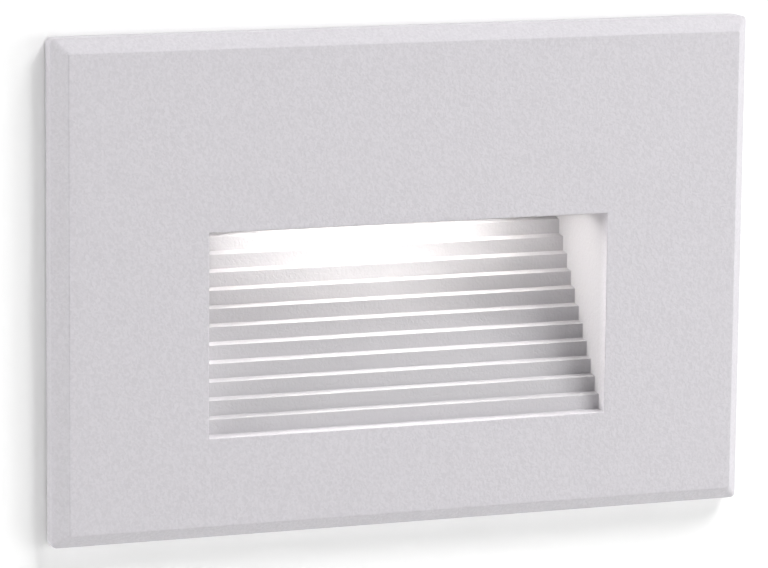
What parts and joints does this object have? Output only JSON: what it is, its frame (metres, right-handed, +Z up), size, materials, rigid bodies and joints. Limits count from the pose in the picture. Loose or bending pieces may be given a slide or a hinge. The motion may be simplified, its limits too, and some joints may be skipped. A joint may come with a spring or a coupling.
{
  "type": "recessed step light",
  "caption": "Recessed LED step light: bevelled cast face plate with a stepped light recess, lamp and driver in a rear cup, on a wall-box bracket.",
  "frame": {"origin": "centre of the face plate on the wall plane, midway between the two wall-box screws", "axes": "+X along the plate's width, the front faces -Y and +Y runs into the wall box, +Z up"},
  "size_m": [0.127, 0.0479, 0.0864],
  "materials": {
    "powder_coated_casting": "fine sand-texture silver-white powder coat",
    "silicone_seal": "translucent grey silicone",
    "clear_glass": "clear tempered",
    "white_moulding": "matt white moulded",
    "white_metal_core_board": "white solder mask on aluminium",
    "lamp_body": "moulded white",
    "phosphor": "cast silicone with yellow phosphor",
    "zinc_plated_steel": "bright zinc plated",
    "thermal_pad": "soft grey pad",
    "bare_aluminium": "extruded, mill finish",
    "lead_insulation": "PVC sleeve",
    "green_circuit_board": "glass-fibre laminate with solder mask",
    "capacitor_sleeve": "shrunk sleeve on an aluminium can",
    "ferrite_and_winding": "ferrite with enamelled copper",
    "film_capacitor_box": "moulded box",
    "varistor_coating": "dipped epoxy",
    "resistor_coating": "dipped",
    "black_package": "moulded epoxy",
    "bare_die_casting": "as cast, lightly blasted",
    "insulating_sheet": "grey fibre sheet",
    "black_rubber": "moulded",
    "green_screw": "green dyed zinc",
    "foam_strip": "closed-cell foam",
    "galvanised_steel": "galvanised sheet",
    "stainless_set_screw": "plain stainless"
  },
  "bodies": {
    "bracket": {"mounting_bracket": "galvanised_steel", "box_screws": "zinc_plated_steel"},
    "light_unit": {"faceplate": "powder_coated_casting", "lens_gasket": "silicone_seal", "lens": "clear_glass", "lens_frame": "white_moulding", "led_board": "white_metal_core_board", "led_packages": "lamp_body", "led_phosphors": "phosphor", "led_board_screws": "zinc_plated_steel", "thermal_pad": "thermal_pad", "led_carrier": "bare_aluminium", "carrier_screws": "zinc_plated_steel", "jumper_leads": "lead_insulation", "driver_board": "green_circuit_board", "board_screws": "zinc_plated_steel", "bulk_capacitor": "capacitor_sleeve", "power_inductor": "ferrite_and_winding", "film_capacitor": "film_capacitor_box", "varistor": "varistor_coating", "fusible_resistor": "resistor_coating", "bridge_rectifier": "black_package", "driver_chip": "black_package", "housing_gasket": "silicone_seal", "rear_housing": "bare_die_casting", "housing_screws": "zinc_plated_steel", "insulating_sheet": "insulating_sheet", "lead_grommet": "black_rubber", "ground_screw": "green_screw", "wall_gasket": "foam_strip"},
    "retaining_screw_left": {"retaining_screw_left": "stainless_set_screw"},
    "retaining_screw_right": {"retaining_screw_right": "stainless_set_screw"}
  },
  "joints": [
    {"name": "light_unit_pull_off", "type": "slide", "parent": "bracket", "child": "light_unit", "axis": [0, -1, 0], "range_m": [0, 0.05]},
    {"name": "retaining_screw_left_travel", "type": "slide", "parent": "light_unit", "child": "retaining_screw_left", "axis": [0, 0, -1], "range_m": [0, 0.0016]},
    {"name": "retaining_screw_right_travel", "type": "slide", "parent": "light_unit", "child": "retaining_screw_right", "axis": [0, 0, -1], "range_m": [0, 0.0016]}
  ]
}
